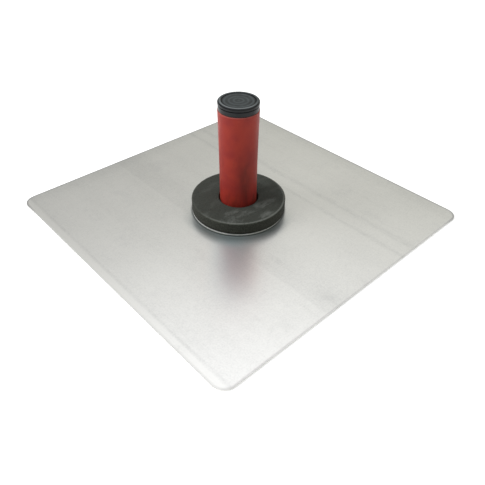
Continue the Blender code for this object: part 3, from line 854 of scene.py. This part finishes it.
def add_callus_guard(finish):
    """Foam ring whose skin and die-cut edges are slightly uneven."""
    bottom, top, outer = low("callus_guard"), high("callus_guard"), radius("callus_guard")
    inner_ease = 0.6 * GUARD_EASE
    corners = [
        (GUARD_HOLE_R, top, inner_ease),
        (outer, top, GUARD_EASE),
        (outer, bottom, GUARD_EASE),
        (GUARD_HOLE_R, bottom, inner_ease),
    ]
    bm = turned(outline(corners, longest=GUARD_ROW), GUARD_STEPS)
    bm.normal_update()
    moves = []
    for vert in bm.verts:
        fine = noise.fractal(vert.co / GUARD_GRAIN, 1.0, 2.0, 2)
        broad = noise.noise(vert.co / GUARD_WAVE)
        moves.append(vert.normal * (GUARD_SKIN * fine + GUARD_SAG * (broad - 0.5)))
    for vert, move in zip(bm.verts, moves):
        vert.co += move
        vert.co.z = min(top, max(bottom, vert.co.z))
    bmesh.ops.translate(bm, verts=bm.verts, vec=GUARD_PLAY)
    piece = add_piece("foam_guard", bm, finish, "guard", "foam", "callus_guard")


# ---------------------------------------------------------------- handle

CORE_FOOT_R = 18.4 * MM
CORE_FOOT_HEIGHT = 3.0 * MM
CORE_R = 15.6 * MM
CORE_BORE_R = 12.5 * MM
NUT_WELL_R = 9.4 * MM
INSERT_R = 7.5 * MM
INSERT_FLANGE_THICK = 2.5 * MM
INSERT_BORE_R = THREAD_MAJOR_R + FIT_GAP
INSERT_GROOVE = 0.6 * MM

SLEEVE_WAIST_R = 19.15 * MM
SLEEVE_TOP_R = 20.15 * MM
SLEEVE_FOOT_R = 19.25 * MM
SLEEVE_WAIST_Z = 40.0 * MM
SLEEVE_EASE = 0.7 * MM
SLEEVE_ROW = 2.0 * MM

CAP_BAND_R = 19.65 * MM
CAP_LIP_HEIGHT = 3.1 * MM
CAP_ROUND = 2.0 * MM
CAP_RING_INNER_R = 16.6 * MM
CAP_PANEL_R = 15.5 * MM
CAP_PANEL_DROP = 0.45 * MM
CAP_GROOVE_DROP = 0.8 * MM
CAP_WALL = 1.6 * MM
CAP_HEIGHT = 8.3 * MM
CAP_UNDERCUT = 0.7 * MM


def add_handle_core(finish):
    """Moulded tube: a foot collar, a well for the nut, a pocket for the insert and an open hollow above."""
    foot, top = low("handle_core"), high("handle_core")
    well_z = low("threaded_insert") - FIT_GAP
    pocket_r = INSERT_R + FIT_GAP
    shoulder_z = high("threaded_insert") - INSERT_FLANGE_THICK - FIT_GAP
    corners = [
        (CORE_BORE_R, top, 0.3 * MM),
        (CORE_R, top, 0.3 * MM),
        (CORE_R, foot + CORE_FOOT_HEIGHT),
        (CORE_FOOT_R, foot + CORE_FOOT_HEIGHT, 0.3 * MM),
        (CORE_FOOT_R, foot, 0.6 * MM),
        (NUT_WELL_R, foot, 0.4 * MM),
        (NUT_WELL_R, well_z, 0.4 * MM),
        (pocket_r, well_z, 0.3 * MM),
        (pocket_r, shoulder_z, 0.3 * MM),
        (CORE_BORE_R, shoulder_z, 0.4 * MM),
    ]
    add_piece("moulded_core", turned(outline(corners), SMALL_STEPS), finish, "handle", "core", "handle_core")


def add_threaded_insert(finish):
    """Brass bush whose flange bears down on the shoulder inside the core."""
    bottom, top, flange_r = low("threaded_insert"), high("threaded_insert"), radius("threaded_insert")
    flange_low = top - INSERT_FLANGE_THICK
    groove_mid = (bottom + flange_low) / 2
    groove_half = 1.2 * MM
    groove_r = INSERT_R - INSERT_GROOVE
    corners = [
        (INSERT_BORE_R, top, 0.3 * MM),
        (flange_r, top, 0.3 * MM),
        (flange_r, flange_low, 0.2 * MM),
        (INSERT_R, flange_low, 0.2 * MM),
        (INSERT_R, groove_mid + groove_half),
        (groove_r, groove_mid + groove_half - INSERT_GROOVE),
        (groove_r, groove_mid - groove_half + INSERT_GROOVE),
        (INSERT_R, groove_mid - groove_half),
        (INSERT_R, bottom, 0.5 * MM),
        (INSERT_BORE_R, bottom, 0.3 * MM),
    ]
    bm = turned(outline(corners), SMALL_STEPS)
    add_piece("brass_insert", bm, finish, "insert", "insert", "threaded_insert")


def sleeve_r(z, foot, top):
    """Outer radius of the grip at height z: a parabola each side of the waist."""
    if z > SLEEVE_WAIST_Z:
        share = (z - SLEEVE_WAIST_Z) / (top - SLEEVE_WAIST_Z)
        return SLEEVE_WAIST_R + (SLEEVE_TOP_R - SLEEVE_WAIST_R) * share**2
    share = (SLEEVE_WAIST_Z - z) / (SLEEVE_WAIST_Z - foot)
    return SLEEVE_WAIST_R + (SLEEVE_FOOT_R - SLEEVE_WAIST_R) * share**2


def add_grip_sleeve(finish):
    """Rubber sleeve that swells gently from its waist to both ends."""
    foot, top = low("grip_sleeve"), high("grip_sleeve")
    inner = CORE_R + FIT_GAP
    rows = round((top - foot) / SLEEVE_ROW)
    outside = []
    for row in range(1, rows):
        z = top + (foot - top) * row / rows
        outside.append((sleeve_r(z, foot, top), z))
    corners = [
        (inner, top),
        (SLEEVE_TOP_R, top, SLEEVE_EASE),
        *outside,
        (SLEEVE_FOOT_R, foot, SLEEVE_EASE),
        (inner, foot),
    ]
    add_piece("rubber_grip", turned(outline(corners)), finish, "handle", "grip", "grip_sleeve")


def add_end_cap(finish):
    """Moulded cup: a ringed top panel, a rounded lip over a plain band, and a spigot into the core."""
    top, bottom, lip_r = high("end_cap"), low("end_cap"), radius("end_cap")
    seam = top - CAP_HEIGHT
    spigot_r = CORE_BORE_R - FIT_GAP
    lip_low = top - CAP_LIP_HEIGHT
    panel = top - CAP_PANEL_DROP
    groove_r = 0.5 * (CAP_PANEL_R + CAP_RING_INNER_R)
    inside_top = top - 2 * CAP_WALL
    corners = [
        (0.0, panel),
        (CAP_PANEL_R, panel, 0.25 * MM),
        (groove_r, top - CAP_GROOVE_DROP, 0.2 * MM),
        (CAP_RING_INNER_R + 0.1 * MM, top, 0.35 * MM),
        (lip_r, top, CAP_ROUND),
        (lip_r, lip_low, 0.35 * MM),
        (CAP_BAND_R - CAP_UNDERCUT, lip_low - 0.1 * MM, 0.15 * MM),
        (CAP_BAND_R - CAP_UNDERCUT, lip_low - 0.5 * MM, 0.15 * MM),
        (CAP_BAND_R, lip_low - 0.8 * MM, 0.2 * MM),
        (CAP_BAND_R, seam, 0.35 * MM),
        (spigot_r, seam, 0.2 * MM),
        (spigot_r, bottom, 0.7 * MM),
        (spigot_r - CAP_WALL, bottom, 0.3 * MM),
        (spigot_r - CAP_WALL, inside_top, 0.5 * MM),
        (0.0, inside_top),
    ]
    bm = turned(outline(corners, closed=False), closed=False)
    add_piece("moulded_cap", bm, finish, "handle", "cap", "end_cap")


# ---------------------------------------------------------------- studio

CAMERA_AZIMUTH = math.radians(-43.0)
CAMERA_ELEVATION = math.radians(39.8)
CAMERA_ROLL = math.radians(0.67)
CAMERA_DISTANCE = 562.3 * MM
CAMERA_ASIDE = 5.1 * MM
CAMERA_ABOVE = -36.2 * MM
CAMERA_LENS = 38.98
CAMERA_SENSOR = 36.0

FLOOR_R = 9.0
FLOOR_DROP = 0.1 * MM
FLOOR_GLOW = 0.30


def direction(azimuth, elevation):
    """The way from the tool towards something at this azimuth and elevation."""
    level = math.cos(elevation)
    return Vector((math.sin(azimuth) * level, -math.cos(azimuth) * level, math.sin(elevation)))


def add_camera():
    back = direction(CAMERA_AZIMUTH, CAMERA_ELEVATION)
    right = Vector((0.0, 0.0, 1.0)).cross(back).normalized()
    up = back.cross(right)
    data = bpy.data.cameras.new("camera")
    data.lens = CAMERA_LENS
    data.sensor_width = CAMERA_SENSOR
    data.clip_start = 0.01
    data.clip_end = 50.0
    camera = bpy.data.objects.new("camera", data)
    bpy.context.scene.collection.objects.link(camera)
    camera.location = back * CAMERA_DISTANCE + right * CAMERA_ASIDE + up * CAMERA_ABOVE
    camera.rotation_mode = "QUATERNION"
    camera.rotation_quaternion = back.to_track_quat("Z", "Y") @ Quaternion((0.0, 0.0, 1.0), CAMERA_ROLL)
    bpy.context.scene.camera = camera


def add_floor():
    bm = bmesh.new()
    bmesh.ops.create_circle(bm, cap_ends=True, segments=96, radius=FLOOR_R)
    mesh = bpy.data.meshes.new("floor")
    raised(bm, -FLOOR_DROP).to_mesh(mesh)
    bm.free()
    finish = Finish("floor_paper", {"Specular IOR Level": 0.1, "Emission Strength": FLOOR_GLOW})
    fleck = finish.noise(60 * MM, detail=3.0)
    finish.colour(finish.blend(fleck, (0.90, 0.90, 0.90), (0.93, 0.93, 0.93)))
    finish.roughness(0.9)
    finish.shader.inputs["Emission Color"].default_value = WHITE
    mesh.materials.append(finish.material)
    floor = bpy.data.objects.new("floor", mesh)
    bpy.context.scene.collection.objects.link(floor)


def add_area_light(name, azimuth, elevation, distance, size, power):
    data = bpy.data.lights.new(name, "AREA")
    data.shape = "DISK"
    data.size = size
    data.energy = power
    lamp = bpy.data.objects.new(name, data)
    bpy.context.scene.collection.objects.link(lamp)
    toward = direction(math.radians(azimuth), math.radians(elevation))
    lamp.location = toward * distance
    lamp.rotation_mode = "QUATERNION"
    lamp.rotation_quaternion = (-toward).to_track_quat("-Z", "Y")
    # Reflected in the sheet, the lamp would be only glare when seen from the far side.
    lamp.visible_glossy = False


# The studio's walls and ceiling: sine of the elevation, and brightness.
SKY = (
    (0.0, 0.34),
    (0.40, 0.335),
    (0.50, 0.375),
    (0.60, 0.51),
    (0.68, 0.71),
    (0.76, 1.09),
    (0.83, 1.42),
    (0.88, 1.25),
    (0.94, 0.95),
    (1.0, 0.80),
)
SKY_LOW_TINT = (1.0, 0.995, 0.84, 1.0)
SKY_HIGH_TINT = (0.98, 0.99, 1.015, 1.0)
# Between these sines the low tint turns into the high one, and the two sides become equally bright.
SKY_TURN = (0.5, 0.8)
# The walls are brighter on this side than on the other.
SKY_SIDE = Vector((0.73, -0.68, 0.0))
SKY_SIDE_EASE = (-0.38, 0.15)
SKY_SIDE_LEVELS = (0.44, 1.12)
SKY_SEEN = 1.0
WHITE = (1.0, 1.0, 1.0, 1.0)


def add_world():
    """Dim warm walls, brighter on one side, under a bright cool ring and a softer ceiling.

    The camera itself sees a plain white backdrop.
    """
    world = bpy.data.worlds.new("studio")
    bpy.context.scene.world = world
    world.use_nodes = True
    nodes, links = world.node_tree.nodes, world.node_tree.links
    place = nodes.new("ShaderNodeTexCoord")
    axes = nodes.new("ShaderNodeSeparateXYZ")
    links.new(place.outputs["Generated"], axes.inputs[0])

    ramp = nodes.new("ShaderNodeFloatCurve")
    ramp.mapping.use_clip = False
    curve = ramp.mapping.curves[0]
    for point, (sine, bright) in zip(curve.points, (SKY[0], SKY[-1])):
        point.location = (sine, bright)
    for sine, bright in SKY[1:-1]:
        curve.points.new(sine, bright)
    ramp.mapping.update()
    links.new(axes.outputs[2], ramp.inputs["Value"])

    side = nodes.new("ShaderNodeVectorMath")
    side.operation = "DOT_PRODUCT"
    links.new(place.outputs["Generated"], side.inputs[0])
    side.inputs[1].default_value = SKY_SIDE
    tilt = nodes.new("ShaderNodeMapRange")
    tilt.interpolation_type = "SMOOTHSTEP"
    links.new(side.outputs["Value"], tilt.inputs["Value"])
    tilt_numbers = (*SKY_SIDE_EASE, *SKY_SIDE_LEVELS)
    for name, value in zip(("From Min", "From Max", "To Min", "To Max"), tilt_numbers):
        tilt.inputs[name].default_value = value
    height = nodes.new("ShaderNodeMapRange")
    links.new(axes.outputs[2], height.inputs["Value"])
    height.inputs["From Min"].default_value, height.inputs["From Max"].default_value = SKY_TURN
    level = nodes.new("ShaderNodeMix")
    links.new(height.outputs["Result"], level.inputs["Factor"])
    links.new(tilt.outputs["Result"], level.inputs["A"])
    level.inputs["B"].default_value = 1.0
    bright = nodes.new("ShaderNodeMath")
    bright.operation = "MULTIPLY"
    links.new(ramp.outputs[0], bright.inputs[0])
    links.new(level.outputs["Result"], bright.inputs[1])

    path = nodes.new("ShaderNodeLightPath")
    seen = nodes.new("ShaderNodeMix")
    links.new(path.outputs["Is Camera Ray"], seen.inputs["Factor"])
    links.new(bright.outputs[0], seen.inputs["A"])
    seen.inputs["B"].default_value = SKY_SEEN
    links.new(seen.outputs["Result"], nodes["Background"].inputs["Strength"])

    tint = nodes.new("ShaderNodeMix")
    tint.data_type = "RGBA"
    links.new(height.outputs["Result"], tint.inputs["Factor"])
    for index, colour in zip(MIX_COLOURS, (SKY_LOW_TINT, SKY_HIGH_TINT)):
        tint.inputs[index].default_value = colour
    plain = nodes.new("ShaderNodeMix")
    plain.data_type = "RGBA"
    links.new(path.outputs["Is Camera Ray"], plain.inputs["Factor"])
    links.new(tint.outputs[MIX_RESULT], plain.inputs[MIX_COLOURS[0]])
    plain.inputs[MIX_COLOURS[1]].default_value = WHITE
    links.new(plain.outputs[MIX_RESULT], nodes["Background"].inputs["Color"])


def add_studio():
    add_camera()
    add_floor()
    add_world()
    add_area_light("key_light", azimuth=-128, elevation=35, distance=1.6, size=1.0, power=21)
    bpy.context.scene.view_settings.view_transform = "Standard"


# ---------------------------------------------------------------- tool


def add_tool():
    steel = steel_finish()
    add_blade(blade_finish())
    add_base_disc(disc_finish())
    add_rivets(rivet_finish())
    add_stud(steel)
    add_lock_washer(steel)
    add_stud_nut(steel)
    add_callus_guard(foam_finish())
    add_handle_core(core_finish())
    add_threaded_insert(brass_finish())
    add_grip_sleeve(grip_finish())
    add_end_cap(cap_finish())


add_tool()
add_studio()
